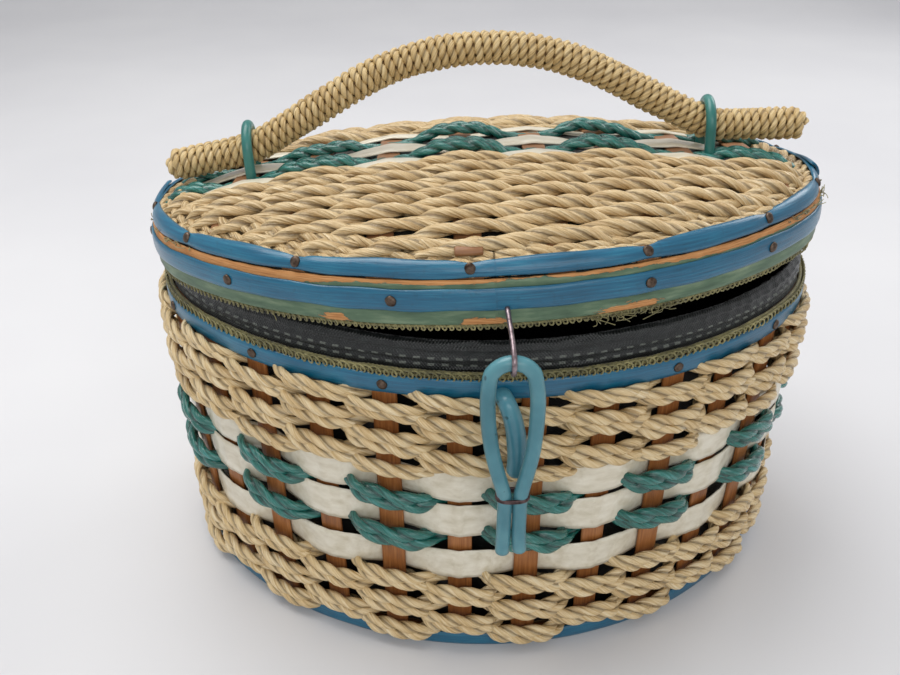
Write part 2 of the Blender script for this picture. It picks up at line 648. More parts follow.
m_nail = metal_mat("nail_metal", srgb(52, 38, 30), srgb(112, 96, 84), 0.45)
m_wire = metal_mat("wire_metal", srgb(96, 80, 84), srgb(168, 152, 156), 0.32)

m_tie = metal_mat("dark_tie", srgb(50, 36, 36), srgb(112, 92, 92), 0.5)

# ---------------------------------------------------------------- body weave
STEP = 1.15
S = np.arange(0, PER, STEP)


def stake_phase(s, parity):
    """1 over a stake of this parity, -1 over the next one."""
    return np.cos(PI * (s / D - 0.5 - parity))


def weave_u(ph, out, inn, sharp=1.7):
    w = np.tanh(sharp * ph) / math.tanh(sharp)
    return inn + (out - inn) * (w + 1) / 2


def course_local(s, parity):
    """Place inside the present over, -1 to 1 from its left to its right."""
    k = np.floor((s / D - 0.5 - parity + 1) / 2)
    return (s / D - 0.5 - parity) - 2 * k


def body_cords(name, zc, parity, hgt, mat, node, R=2.1, pitch=12.5, slant=1.0, ncord=2, seed=0, sides=12, sepmul=1.0, flat=1.0):
    m = Mesh()
    g = np.random.default_rng(seed)
    ph = stake_phase(S, parity)
    loc = course_local(S, parity)
    for c in range(ncord):
        off = (c - (ncord - 1) / 2)
        open_ = 0.5 + 0.5 * np.clip(ph, -1, 1)
        spread = (hgt - 2 * R) * 0.5 * 2 / max(1, ncord - 1)
        sep = spread * (0.46 + 0.54 * np.clip(open_ * 1.35, 0, 1) ** 0.8) * sepmul
        z = zc - off * sep - slant * np.sin(PI * loc * 0.5) * (ph > -2)
        z = z + 0.5 * wave(S, seed * 17 + c, 7, 3, 46)
        rr = R * (0.80 + 0.22 * np.clip(open_ * 1.3, 0, 1)) * (1 + 0.07 * wave(S, seed * 5 + c + 3, 5, 10, 70))
        uo = -1.1 + rr * 0.98 + 0.5 + 0.8 * open_ * (1 - abs(off) * 0.3)
        ui = -2.7 - rr - 0.1
        u = weave_u(ph + 0.30 + 0.12 * (c * 2 - 1) * np.sin(PI * loc), uo, ui, 2.3)
        u = u + U(z)
        x, y, nx, ny = oval(S, u)
        path = np.stack([x, y, z], -1)
        up = np.stack([nx, ny, np.zeros_like(nx)], -1)
        cord(m, path, up, rr, pitch, g.uniform(0, 6), sides, True, rid=seed + 0.37 * c, flat=flat)
    m.obj(name, mat, "basket", (node,))


courses = [
    ("upper_cord_1", 127.3, 1, 7.0), ("upper_cord_2", 122.3, 0, 8.0), ("upper_cord_3", 116.4, 1, 10.5),
    ("upper_cord_4", 108.9, 0, 10.3), ("upper_cord_5", 101.3, 1, 10.2), ("upper_cord_6", 95.8, 0, 7.0),
    ("lower_cord_1", 39.0, 0, 9.2), ("lower_cord_2", 32.8, 1, 10.2), ("lower_cord_3", 24.4, 0, 10.6),
    ("lower_cord_4", 16.4, 1, 10.2), ("lower_cord_5", 9.6, 0, 9.6),
]
for i, (node, zc, par, hgt) in enumerate(courses):
    body_cords("w_" + node, zc, par, hgt, m_nat, node, R=2.95 if hgt > 8 else 2.45,
               pitch=19.0, slant=1.2, seed=20 + i, flat=0.82)
for i, (node, zc, par, hgt) in enumerate([("teal_cord_1", 81.8, 0, 9.6), ("teal_cord_2", 62.6, 0, 10.2)]):
    body_cords("w_" + node, zc, par, hgt, m_teal, node, R=3.0, pitch=25.0, slant=2.2, seed=60 + i, sides=14, flat=0.85)


def white_strip(node, zc, hgt, parity, seed):
    m = Mesh()
    ph = stake_phase(S, parity)
    loc = course_local(S, parity)
    hh = hgt * (0.90 + 0.10 * np.clip(ph, 0, 1) ** 0.5) * (1 + 0.015 * wave(S, seed, 6, 6, 50))
    zz = zc + 0.35 * wave(S, seed + 1, 5, 3, 30)
    M = 9
    pr = np.empty((2 * M, 2, len(S)))
    # stiff vinyl runs straight from behind one stake to a crease over the next
    g = np.random.default_rng(seed)
    sharp = g.uniform(0.25, 1.0, N // 2)[(np.floor((S / D - 0.5 - parity + 1) / 2).astype(int)) % (N // 2)]
    tri = 1 - 2 * np.abs(loc)
    soft = np.clip(1.5 * tri + 0.25, -1, 1)
    w = soft * (1 - 0.6 * sharp * (tri > 0)) + 0.6 * sharp * np.clip(tri + 0.1, -1, 1) * (tri > 0)
    base_u = -3.5 + 4.1 * (w + 1) / 2 + 0.5 * sharp * np.clip(tri - 0.8, 0, 1) * 5
    for j in range(M):
        v = -1 + 2 * j / (M - 1)
        z = zz + v * hh / 2
        curl = -0.25 * abs(v) ** 4 + 0.07 * wave(S + v * 9, seed + 40, 6, 16, 60) * (0.3 + abs(v) ** 2)
        u = base_u + curl + U(z)
        pr[j, 0], pr[j, 1] = u + 0.2, z
        pr[2 * M - 1 - j, 0], pr[2 * M - 1 - j, 1] = u - 0.2, z
    ribbon_ring(m, lambda s: pr, S)
    m.obj("w_" + node, m_white, "basket", (node,))


white_strip("white_strip_1", 88.6, 14.6, 1, 3)
white_strip("white_strip_2", 71.4, 15.8, 1, 4)
white_strip("white_strip_3", 48.2, 14.8, 1, 5)

# stakes: flat splints with rounded edges that bend slightly round the courses
m = Mesh()
zz = np.arange(1.5, 136, 3.0)
for k in range(N):
    sk = (k + 0.5) * D
    jit = rng.uniform(-0.35, 0.35)
    pts = np.empty((len(zz), 10, 3))
    att = np.empty_like(pts)
    bow = 0.18 * np.sin(zz / 7.0 + k)
    w = 4.75 + 0.12 * np.sin(zz / 19 + k * 2.1)
    sec = [(-1.0, -0.45), (-0.92, -0.02), (-0.4, 0.0), (0.4, 0.0), (0.92, -0.02), (1.0, -0.45), (1.0, -1.1), (0.9, -1.6), (-0.9, -1.6), (-1.0, -1.1)]
    for j, (a, o) in enumerate(sec):
        u = -1.12 + o + U(zz) + bow * 0.4
        x0, y0, nx, ny = oval(np.full_like(zz, sk + jit), u)
        tx, ty = -ny, nx
        pts[:, j, 0] = x0 + tx * a * w
        pts[:, j, 1] = y0 + ty * a * w
        pts[:, j, 2] = zz
        att[:, j, 0], att[:, j, 1], att[:, j, 2] = zz, a, k
    b0 = m.grid(pts, att)
    m.cap(b0 + np.arange(10), pts[0].mean(0), att[0, 0], flip=True)
    m.cap(b0 + (len(zz) - 1) * 10 + np.arange(10), pts[-1].mean(0), att[-1, 0])
m.obj("splint_stakes", m_stake, "basket", ("wall_stakes",))


# ---------------------------------------------------------------- plastic strips
def strip_profile(z0, z1, u_in, thick, seed, amp_z=0.35, amp_u=0.25, lean=None, bulge=0.35):
    """Closed profile of a soft plastic strip with rounded, slightly curled edges."""
    def prof(s):
        h0 = z0 + amp_z * wave(s, seed, 7, 5, 34)
        h1 = z1 + amp_z * wave(s, seed + 1, 7, 5, 34)
        ripple = amp_u * wave(s, seed + 2, 7, 6, 30)
        ts = [0, .06, .2, .4, .6, .8, .94, 1]
        out, inn = [], []
        for t in ts:
            z = h0 + (h1 - h0) * t
            ln = lean(z) if lean else 0
            edge = -0.55 * (1 - min(1, min(t, 1 - t) / 0.08)) if min(t, 1 - t) < 0.08 else 0
            o = u_in + thick + ln + edge * thick + bulge * 4 * t * (1 - t) * 0.5 + ripple * (0.5 + 0.5 * math.sin(t * 5 + seed))
            out.append((o, z))
            inn.append((np.full_like(z, 0) + u_in + ln, z))
        return np.array([[a, b] for a, b in out + inn[::-1]])
    return prof


def strip_piece(name, prof, mat, body, node, turn, laps=()):
    m = Mesh()
    ribbon_ring(m, prof, S)
    for (c, half, du) in laps:
        s2 = np.arange(c - half, c + half, 1.0)
        p2 = lambda s, du=du, c=c, half=half: lap(prof, s, du, c, half)
        ribbon_ring(m, p2, s2, closed=False)
    return m.obj(name, mat, body, (node,), turn)


def lap(prof, s, du, c, half):
    p = prof(s)
    w = 1 - 0.25 * np.clip((s - c) / half, -1, 1)
    p = p.copy()
    p[:, 0] += du
    mid = p[:, 1].mean(0)
    p[:, 1] = mid + (p[:, 1] - mid) * w * 1.03
    return p


lean_b = lambda z: U(z)
strip_piece("rim_band", strip_profile(128.4, 136.1, -1.0, 1.0, 11, 0.3, 0.15, lean_b), m_blue, "basket", "rim_strip", False, [(PER * 0.52, 16, 0.6)])
strip_piece("foot_band", strip_profile(0.25, 6.9, -1.0, 1.0, 12, 0.25, 0.12, lean_b), m_blue, "basket", "base_strip", False, [(PER * 0.47, 16, 0.6)])
strip_piece("hoop_band", strip_profile(LZ + 5.3, LZ + 13.1, 0.6, 1.0, 13, 0.35, 0.2), m_blue, "lid", "lid_hoop_strip", True, [(PER * 0.55, 18, 0.6)])


TOP_NAILS = (-340, -290, -235, -175, -125, -70, -8.6, 52, 108, 160, 215, 270, 330)


def between_nails(s):
    """0 at a tack, 1 halfway to the next."""
    e = np.array([TOP_NAILS[-1] - PER] + list(TOP_NAILS) + [TOP_NAILS[0] + PER])
    sc = ((s + PER / 2) % PER) - PER / 2
    k = np.clip(np.searchsorted(e, sc) - 1, 0, len(e) - 2)
    f = (sc - e[k]) / (e[k + 1] - e[k])
    return 1 - np.abs(2 * f - 1) ** 1.6, np.exp(-(np.minimum(np.abs(sc - e[k]), np.abs(sc - e[k + 1])) / 4.0) ** 2)


def top_prof(s):
    """Binding strip folded over the woven edge of the lid, pinched in at each tack."""
    b, pin = between_nails(s)
    w1 = 0.55 * wave(s, 31, 8, 6, 26) - 0.3 * b
    w2 = 0.4 * wave(s, 32, 8, 6, 30) + 0.7 * b - 0.6 * pin
    w3 = 0.3 * wave(s, 33, 8, 8, 34) + 0.25 * b - 0.35 * pin
    w4 = -0.8 * b + 0.5 * pin
    pts = [(-0.2 + w3, LZ + 16.8 + w1), (0.05 + w3, LZ + 17.4 + w1), (-0.1 + w3, LZ + 18.6 + w1 * .6),
           (-0.6 + w3 * .6, LZ + 19.7 + w2 * .3), (-1.3 + w3 * .3, LZ + 20.6 + w2 * .6), (-2.1, LZ + 21.2 + w2 * .9),
           (-2.8 + w4 * .5, LZ + 21.5 + w2), (-3.4 + w4, LZ + 21.3 + w2), (-3.3 + w4, LZ + 20.8 + w2),
           (-2.4 + w4 * .4, LZ + 20.8 + w2 * .9), (-1.9, LZ + 20.3 + w2 * .5), (-1.4, LZ + 19.4), (-1.1, LZ + 18.5), (-0.98, LZ + 17.7 + w1 * .5),
           (-0.9 + w3, LZ + 17.0 + w1)]
    return np.array([[np.broadcast_to(a, s.shape), np.broadcast_to(b_, s.shape)] for a, b_ in pts])


m = Mesh()
ribbon_ring(m, top_prof, S)
for c, half, du in ((PER * 0.75 + 4, 13, 0.7), (PER * 0.25 - 2, 12, 0.7)):
    s2 = np.arange(c - half, c + half, 1.0)

    def tp(s, du=du, c=c, half=half):
        p = top_prof(s).copy()
        f = (s - c) / half
        p[:, 0] += du * (1 - 0.3 * f)
        p[:, 1] += du * 0.8 - 0.8 * f
        return p
    ribbon_ring(m, tp, s2, closed=False)
m.obj("lid_binding", m_blue, "lid", ("lid_top_strip",), True)

# ---------------------------------------------------------------- nails
def nail(m, p, n, r=2.0, seed=0):
    """Domed nail head with a slightly uneven rim."""
    n = np.asarray(n, float) / np.linalg.norm(n)
    ref = np.array([0, 0, 1.0]) if abs(n[2]) < 0.9 else np.array([1.0, 0, 0])
    a = np.cross(ref, n); a /= np.linalg.norm(a)
    b = np.cross(n, a)
    g = np.random.default_rng(seed)
    th = np.linspace(0, 2 * PI, 16, endpoint=False)
    wob = 1 + 0.05 * np.sin(2 * th + g.uniform(0, 6)) + 0.03 * np.sin(5 * th)
    rows = [(1.0, -0.5), (1.02, 0.1), (0.95, 0.42), (0.75, 0.7), (0.42, 0.9), (0.12, 0.96)]
    pts = np.array([[p + n * h + (a * math.cos(t) + b * math.sin(t)) * r * q * w for t, w in zip(th, wob)] for q, h in rows])
    att = np.zeros(pts.shape)
    b0 = m.grid(pts, att)
    m.cap(b0 + np.arange(16), p - n * 0.5, (0, 0, 0), flip=True)
    m.cap(b0 + 5 * 16 + np.arange(16), p + n * 0.97, (0, 0, 0))


for name, zc, node in (("rim_tacks", H - 3.75, "rim_nails"), ("foot_tacks", 3.4, "base_nails")):
    m = Mesh()
    for k in range(0, N, 2):
        s0 = (k + 0.5) * D
        x, y, nx, ny = oval(np.array([s0]), np.array([float(U(zc)) + 0.35]))
        nail(m, np.array([x[0], y[0], zc]), (nx[0], ny[0], 0), 1.9, k)
    m.obj(name, m_nail, "basket", (node,))
m = Mesh()
for i, s0 in enumerate((-100, -35, 52, 108, 180, -175)):
    x, y, nx, ny = oval(np.array([float(s0)]), np.array([2.0]))
    nail(m, np.array([x[0], y[0], LZ + 9.2]), (nx[0], ny[0], 0), 1.9, i)
m.obj("hoop_tacks", m_nail, "lid", ("lid_hoop_nails",), True)
m = Mesh()
for i, s0 in enumerate(TOP_NAILS):
    x, y, nx, ny = oval(np.array([float(s0)]), np.array([-0.85]))
    nail(m, np.array([x[0], y[0], LZ + 19.6]), (nx[0], ny[0], 0.42), 1.9, i + 9)
m.obj("binding_tacks", m_nail, "lid", ("lid_top_nails",), True)

# ---------------------------------------------------------------- lid hoop
ss = np.arange(0, PER, 1.0)
rows_z = np.array([0, 0.35, 1.2, 2.5, 4, 5.5, 7, 8.5, 10, 11.5, 12.8, 13.6, 14.4, 15.0, 15.5, 15.85, 16.0])
m = Mesh()
nr = len(rows_z)
pts = np.empty((len(ss), 2 * nr, 3))
att = np.empty_like(pts)


def wear_at(s, z):
    """Where the paint has gone: a worn top edge and some patches at the front."""
    sc = ((s + PER / 2) % PER) - PER / 2
    w = 0.05 + 0.0 * s
    w = w + 1.0 * np.exp(-((16.3 - z) / 1.7) ** 2) * (0.85 + 0.45 * wave(s, 71, 6, 4, 18))
    for s0, z0, ws, wz, a in ((-84, 14.8, 20, 3.4, 1.2), (-118, 15.4, 22, 2.6, 1.0), (-150, 15.0, 24, 2.4, 0.8), (-56, 1.2, 7, 2.2, 0.8), (150, 15.0, 26, 2.6, 0.9),
                              (-4, 0.8, 11, 2.4, 0.8), (46, 1.0, 14, 2.2, 0.8), (88, 15.5, 28, 2.2, 0.75),
                              (200, 14.8, 18, 3.0, 0.8), (-260, 1.5, 15, 2.2, 0.8), (300, 1.2, 22, 2.0, 0.7), (-330, 15.0, 30, 2.0, 0.7)):
        d = (sc - s0) / ws
        w = w + a * np.exp(-d * d - ((z - z0) / wz) ** 2)
    return w


for j, z in enumerate(rows_z):
    edge = 0.5 * (math.exp(-((z) / 0.5) ** 2) + math.exp(-((16 - z) / 0.5) ** 2))
    chip = 0.35 * np.clip(wave(ss, 80, 8, 20, 90), 0, 1) if z > 15.3 else 0.0
    zz2 = LZ + z - chip * (1.0 if z > 15.3 else 0)
    for side, jj in ((0.6 - edge, j), (-1.15 + edge, 2 * nr - 1 - j)):
        x, y, nx, ny = oval(ss, side)
        pts[:, jj, 0], pts[:, jj, 1], pts[:, jj, 2] = x, y, zz2
        att[:, jj, 0], att[:, jj, 1], att[:, jj, 2] = ss, z, wear_at(ss, z)
m.grid(pts, att, closed_i=True)
m.obj("bent_hoop", m_hoop, "lid", ("lid_hoop",), True)

# inner hoops of the body, thin bent splints
def plain_ring(name, prof_pts, mat, body, reps, turn=False, seed=1, amp=0.15):
    m = Mesh()

    def prof(s):
        w = amp * wave(s, seed, 6, 5, 30)
        return np.array([[np.full_like(s, u) + w, np.full_like(s, z) + w * 0.5] for u, z in prof_pts])
    ribbon_ring(m, prof, S)
    return m.obj(name, mat, body, reps, turn)


def rounded(u0, u1, z0, z1, c=0.5, lean=None):
    f = lean or (lambda z: 0.0)
    p = [(u1 - c, z0), (u1, z0 + c), (u1, (z0 + z1) / 2), (u1, z1 - c), (u1 - c, z1), (u0 + c, z1), (u0, z1 - c), (u0, (z0 + z1) / 2), (u0, z0 + c), (u0 + c, z0)]
    return [(u + float(f(z)), z) for u, z in p]


plain_ring("rim_inner_splint", rounded(-5.7, -2.8, 128.6, 136.0, 0.6, U), m_hoop_in, "basket", ("rim_inner_hoop",), seed=5, amp=0.03)
plain_ring("foot_inner_splint", rounded(-5.7, -2.8, 0.3, 6.5, 0.6, U), m_hoop_in, "basket", ("base_inner_hoop",), seed=6, amp=0.03)

# ---------------------------------------------------------------- looped braid trims
def braid(name, node, u0, z0, au, az, period, r, body, turn, seed, rows=2):
    """Two rows of a thin cord laid in overlapping loops."""
    m = Mesh()
    n_loops = int(round(PER / period))
    per = PER / n_loops
    tt = np.linspace(0, n_loops, n_loops * 13, endpoint=False)
    for row in range(rows):
        ph = 2 * PI * tt + row * PI
        s = tt * per + per * 0.66 * np.sin(ph) + (0.33 * per if row == 2 else 0)
        wob = 1 + 0.12 * wave(s, seed + row, 6, 9, 80)
        u = u0 + au * np.cos(ph) * wob * (1 if row == 0 else 0.8)
        z = z0 + az * np.cos(ph) * wob + 0.35 * np.sin(2 * ph + row) + (row % 3) * 0.3
        x, y, nx, ny = oval(s, u)
        path = np.stack([x, y, z], -1)
        up = np.stack([nx, ny, np.full_like(nx, 0.3)], -1)
        up /= np.linalg.norm(up, axis=1, keepdims=True)
        cord(m, path, up, r, 3.0, row, 6, True, rid=row)
    return m.obj(name, m_gimp, body, (node,), turn)


def looped(name, node, u0, z0, rad, period, r, body, turn, seed, back):
    """A trim of small overlapping rings of cord sewn to two straight cords."""
    m = Mesh()
    n_loops = int(round(PER / period))
    per = PER / n_loops
    tt = np.linspace(0, n_loops, n_loops * 14, endpoint=False)
    ph = 2 * PI * tt
    s0 = tt * per
    big = 1 + 0.08 * wave(s0, seed, 6, 9, 90)
    s_ = s0 + rad * 1.02 * big * np.sin(ph)
    z = z0 + rad * big * np.cos(ph) + 0.12 * wave(s0, seed + 4, 6, 4, 50)
    u = u0 + 0.32 * np.sin(ph) + 0.3 * wave(s0, seed + 5, 6, 4, 60)
    x, y, nx, ny = oval(s_, u)
    up = np.stack([nx, ny, np.zeros_like(nx)], -1)
    cord(m, np.stack([x, y, z], -1), up, r, 2.4, 0, 6, True, rid=1)
    for q, (du, dz, rr) in enumerate(back):
        ss_ = np.arange(0, PER, 0.8)
        zz_ = z0 + dz + 0.25 * wave(ss_, seed + 8 + q, 6, 9, 90)
        x, y, nx, ny = oval(ss_, u0 + du + 0.15 * wave(ss_, seed + 12 + q, 6, 9, 90))
        up = np.stack([nx, ny, np.zeros_like(nx)], -1)
        cord(m, np.stack([x, y, zz_], -1), up, rr, 3.4, q, 8, True, rid=2 + q)
    return m.obj(name, m_gimp, body, (node,), turn)


looped("rim_braid", "rim_gimp", -0.6, 137.25, 1.6, 2.9, 0.42, "basket", False, 90, ((-1.4, -0.8, 0.85), (-1.6, 0.6, 0.85)))
looped("lid_braid", "lid_gimp", -0.65, 141.0, 1.2, 2.4, 0.38, "lid", True, 95, ((-0.5, 0.1, 0.7), (-0.9, -0.4, 0.5)))


# ---------------------------------------------------------------- lining
def quilt_u(s, z, seed):
    """Soft puffs between sewn channels."""
    ch = np.abs(np.sin(PI * s / 19.0))
    row = np.abs(np.sin(PI * (z - 4) / 22.0))
    return 0.9 * np.sqrt(ch * row + 0.02) + 0.35 * wave(s + z * 1.3, seed, 6, 9, 60)


m = Mesh()
ss3 = np.arange(0, PER, 1.6)
zr = np.concatenate([[4.3], np.arange(6, 128, 3.0), [128.2]])
pts = np.empty((len(ss3), 2 * len(zr), 3)); att = np.empty_like(pts)
for j, z in enumerate(zr):
    ui = -8.7 - quilt_u(ss3, z, 101) + float(U(z))
    uo = np.full_like(ss3, -7.95 + float(U(z)))
    for u, jj in ((uo, j), (ui, 2 * len(zr) - 1 - j)):
        x, y, nx, ny = oval(ss3, u)
        pts[:, jj, 0], pts[:, jj, 1], pts[:, jj, 2] = x, y, z
        att[:, jj, 0], att[:, jj, 1], att[:, jj, 2] = ss3, z, u
m.grid(pts, att, closed_i=True)
m.obj("quilted_wall", m_lining, "basket", ("lining_wall",))

# collar: a soft double roll that stands above the rim, with gathered ribs
m = Mesh()
ss4 = np.arange(0, PER, 1.0)
rib = 0.75 * np.abs(np.sin(PI * ss4 / 6.3 + 0.9 * wave(ss4, 111, 6, 5, 40))) + 0.5 * wave(ss4, 113, 8, 10, 70)
sag = 0.6 * wave(ss4, 112, 6, 4, 22)
prof = [(-6.0, 126.6), (-6.05, 132), (-5.9, 135.6), (-4.6, 136.4), (-3.5, 137.6), (-3.3, 140), (-3.35, 143), (-3.55, 146), (-4.2, 148.4), (-5.4, 149.5),
        (-6.9, 149.0), (-7.9, 147.2), (-8.3, 144), (-8.2, 140), (-8.1, 136), (-8.2, 132), (-8.25, 128.9), (-7.9, 126.6)]
prof = np.array(prof)
tq = np.linspace(0, len(prof) - 1, 70)
prof = np.stack([np.interp(tq, np.arange(len(prof)), prof[:, c]) for c in (0, 1)], -1)
pts = np.empty((len(ss4), len(prof), 3)); att = np.empty_like(pts)
for j, (u, z) in enumerate(prof):
    k = max(0.0, min(1.0, (z - 136) / 8))
    fold = 0.34 * np.sin(1.55 * z + 1.6 * wave(ss4, 115, 5, 3, 24)) + 0.2 * np.sin(3.1 * z + 2.2 * wave(ss4, 116, 6, 8, 50))
    fold = fold * (1 if u > -5.8 else 0) * min(1.0, max(0.0, (z - 137) / 2.0))
    uu = u + (-1 if u > -5.8 else 1) * rib * k * 0.55 + fold
    zz4 = z + sag * k * (0.7 if z > 145 else 0.2)
    x, y, nx, ny = oval(ss4, uu)
    pts[:, j, 0], pts[:, j, 1], pts[:, j, 2] = x, y, zz4
    att[:, j, 0], att[:, j, 1], att[:, j, 2] = ss4, z, uu
m.grid(pts, att, closed_i=True)
m.obj("gathered_collar", m_lining, "basket", ("lining_collar",))

# floor pad and base board: crowned oval plates made of concentric rings
def oval_pad(name, u_out, z0, z1, mat, node, quilt=0.0):
    m = Mesh()
    sr = np.arange(0, PER, 3.0)
    fr = [0.0, 0.06, 0.14, 0.25, 0.38, 0.52, 0.66, 0.8, 0.92]
    rings = []
    x, y, nx, ny = oval(sr, u_out)
    for top in (0, 1):
        order = fr if top == 0 else fr
        for f in (order if top else order[::-1]):
            k = 1 - f
            px, py = x * k, y * k
            if top:
                q = quilt * (np.abs(np.sin(px / 9.5) * np.sin(py / 9.5)) ** 0.5) if quilt else 0
                z = z1 - 0.9 * math.exp(-f / 0.03) * (1 if quilt else 0.3) + q
            else:
                z = z0 + 0 * px
            rings.append(np.stack([px, py, np.broadcast_to(z, px.shape)], -1))
    pts = np.array(rings).transpose(1, 0, 2)
    att = np.empty(pts.shape)
    att[..., 0], att[..., 1], att[..., 2] = pts[..., 0], pts[..., 1], 0
    nj = pts.shape[1]
    b0 = m.grid(pts, att, closed_i=True, closed_j=False)
    ns = len(sr)
    m.cap(b0 + np.arange(ns) * nj, pts[:, 0].mean(0), (0, 0, 0))
    m.cap(b0 + np.arange(ns) * nj + nj - 1, pts[:, -1].mean(0), (0, 0, 0), flip=True)
    return m.obj(name, mat, "basket", (node,))


oval_pad("quilted_floor", -13.2, 4.2, 7.2, m_lining, "lining_floor", 1.2)
oval_pad("foot_board", -8.9, 0.0, 3.9, m_board, "base_board")

# ---------------------------------------------------------------- lid weave
X0S = -8.6
PX = 30.0


def half_len(y, u):
    """Half length of the lid at this y, inside offset u."""
    xs = np.linspace(0, 140, 1401)
    rr = RS + u
    ys = np.where(xs < rr * math.cos(PHI), np.sqrt(np.maximum(rr ** 2 - xs ** 2, 0)) - CY,
                  np.sqrt(np.maximum((RE + u) ** 2 - (xs - CX) ** 2, 0)) * (xs < A + u))
    ok = ys > abs(y)
    return xs[ok].max() if ok.any() else 0.0


def inset(x, y):
    """How far inside the rim oval a point is."""
    ax_, ay_ = np.abs(x), np.abs(y)
    end = np.arctan2(ay_, np.maximum(ax_ - CX, 1e-6)) < PHI
    end = end & (ax_ > CX)
    return np.where(end, RE - np.hypot(ax_ - CX, ay_), RS - np.hypot(ax_, ay_ + CY))


def rear_drop(x, y):
    """The old lid has sunk behind its middle band, more towards the right."""
    return 2.2 * (1 + 0.3 * np.clip(x / 60.0, -1, 1)) * (1 - np.exp(-(np.clip(y - 20, 0, 200) / 20.0) ** 2))


def skin(x, y, amt=5.0):
    """The woven surface: dives under the binding at the rim."""
    far = inset(x, y)
    base = dome(np.clip(x, -134, 134), np.clip(y, -101, 101))
    return base - rear_drop(x, y) - amt * np.exp(-(np.clip(far - 3.2, 0, 90) / 6.0) ** 1.3)


def lid_row_path(y0, parity, amp_o, amp_i, u_end=-3.2, dy=None, step=1.1, sharp=1.5):
    hl = half_len(y0, u_end)
    x = np.arange(-hl, hl, step)
    ph = np.cos(PI * ((x - X0S) / PX - parity))
    w = np.tanh(sharp * ph) / math.tanh(sharp)
    y = y0 + (dy(x, ph) if dy is not None else 0)
    edge = np.clip((hl - np.abs(x)) / 9.0, 0, 1)
    h = amp_i + (amp_o - amp_i) * (w + 1) / 2
    far = inset(x, y)
    z = skin(x, y) + h * (0.35 + 0.65 * edge)
    return x, y, z, ph


def lid_cords(name, node, ys, mat, R, pitch, amp, seed, double=False, sides=10):
    m = Mesh()
    g = np.random.default_rng(seed)
    for i, y0 in enumerate(ys):
        par = i % 2
        for c in ((0,) if not double else (-1, 1)):
            y1 = y0 + 0.35 * g.standard_normal()
            hl = half_len(y0, -3.2)
            if hl < 8:
                continue
            sl = 0.55 + 0.2 * g.random()
            dyf = lambda x, ph, c=c: c * (R * 0.92) * (0.35 + 0.65 * (0.5 + 0.5 * ph)) + 0.5 * np.sin(x / 23.0 + i) + sl * 0.9 * np.sin(PI * ((x - X0S) / PX - par)) * 0.9
            x, y, z, ph = lid_row_path(y1, par, amp, -2.0, dy=dyf, u_end=-2.8)
            if len(x) < 6:
                continue
            rr = R * (0.76 + 0.26 * (0.5 + 0.5 * ph)) * (1 + 0.07 * np.sin(x / 17.0 + g.uniform(0, 6)) + 0.04 * np.sin(x / 6.1 + g.uniform(0, 6)))
            rr = rr * (0.5 + 0.5 * np.clip((x[-1] - np.abs(x)) / 8.0, 0, 1))
            path = np.stack([x, y, z], -1)
            up = np.tile(np.array([0, 0, 1.0]), (len(x), 1))
            cord(m, path, up, rr, pitch * g.uniform(0.92, 1.08), g.uniform(0, 6), sides, False, rid=i * 0.7 + c + seed, flat=0.85)
    m.obj(name, mat, "lid", (node,), True)


front_rows = np.arange(-28.0, -99.3, -4.75)
back_rows = np.arange(33.0, 99.3, 4.75)
lid_cords("lid_front_weave", "lid_front_cords", front_rows, m_nat_lid, 3.3, 27.0, 0.9, 201)
lid_cords("lid_back_weave", "lid_back_cords", back_rows, m_nat_lid, 3.2, 27.0, 0.9, 202)

# under the rows twisted cords follow the edge, and frayed cord fills the gap over the hoop
for nm, node, ue, lift_, re_, pe in (("edge_twist_1", "lid_front_cords", -4.7, 0.5, 2.4, 16.0), ("edge_twist_2", "lid_front_cords", -8.3, -1.2, 2.4, 19.0),
                                     ("edge_twist_3", "lid_back_cords", -13.0, -1.4, 2.8, 21.0), ("frayed_edge", "lid_back_cords", -2.3, None, 1.5, 9.0)):
    m = Mesh()
    sq = np.arange(0, PER, 1.0)
    x, y, nx, ny = oval(sq, ue + 0.3 * wave(sq, 141, 6, 8, 40))
    ze = LZ + 17.2 + 0 * x if lift_ is None else skin(x, y) + lift_
    cord(m, np.stack([x, y, ze + 0.3 * wave(sq, 142, 6, 8, 60)], -1), np.stack([nx, ny, 0 * nx], -1), re_ * (1 + 0.12 * wave(sq, 143, 6, 20, 90)), pe, 0.0, 10, True, rid=5.5 - ue)
    m.obj(nm, m_nat_lid, "lid", (node,), True)


def lid_teal(node, y0, parity, seed):
    m = Mesh()
    g = np.random.default_rng(seed)
    for c in (-1, 1):
        R = 2.6
        lean = 0.05 if y0 > 0 else 0.0
        dyf = lambda x, ph, c=c: c * 2.7 * (0.18 + 0.82 * (0.5 + 0.5 * ph)) - 1.4 * np.sin(PI * ((x - X0S) / PX - parity)) * 0.8 + lean * x
        x, y, z, ph = lid_row_path(y0, parity, 2.2 if y0 > 0 else 1.8, -3.4, dy=dyf, u_end=-3.0)
        z = z - (2.5 if y0 > 0 else 1.8) * np.clip((np.abs(x) - 45) / 20, 0, 1) * (0.5 + 0.5 * ph)
        rr = R * (0.84 + 0.18 * (0.5 + 0.5 * ph))
        path = np.stack([x, y, z], -1)
        up = np.tile(np.array([0, 0, 1.0]), (len(x), 1))
        cord(m, path, up, rr, 16.0, g.uniform(0, 6), 12, False, rid=c * 1.3 + seed, flat=0.9)
    m.obj("w_" + node, m_teal, "lid", (node,), True)


lid_teal("lid_teal_cord_1", -11.0, 0, 211)
lid_teal("lid_teal_cord_2", 16.5, 0, 212)


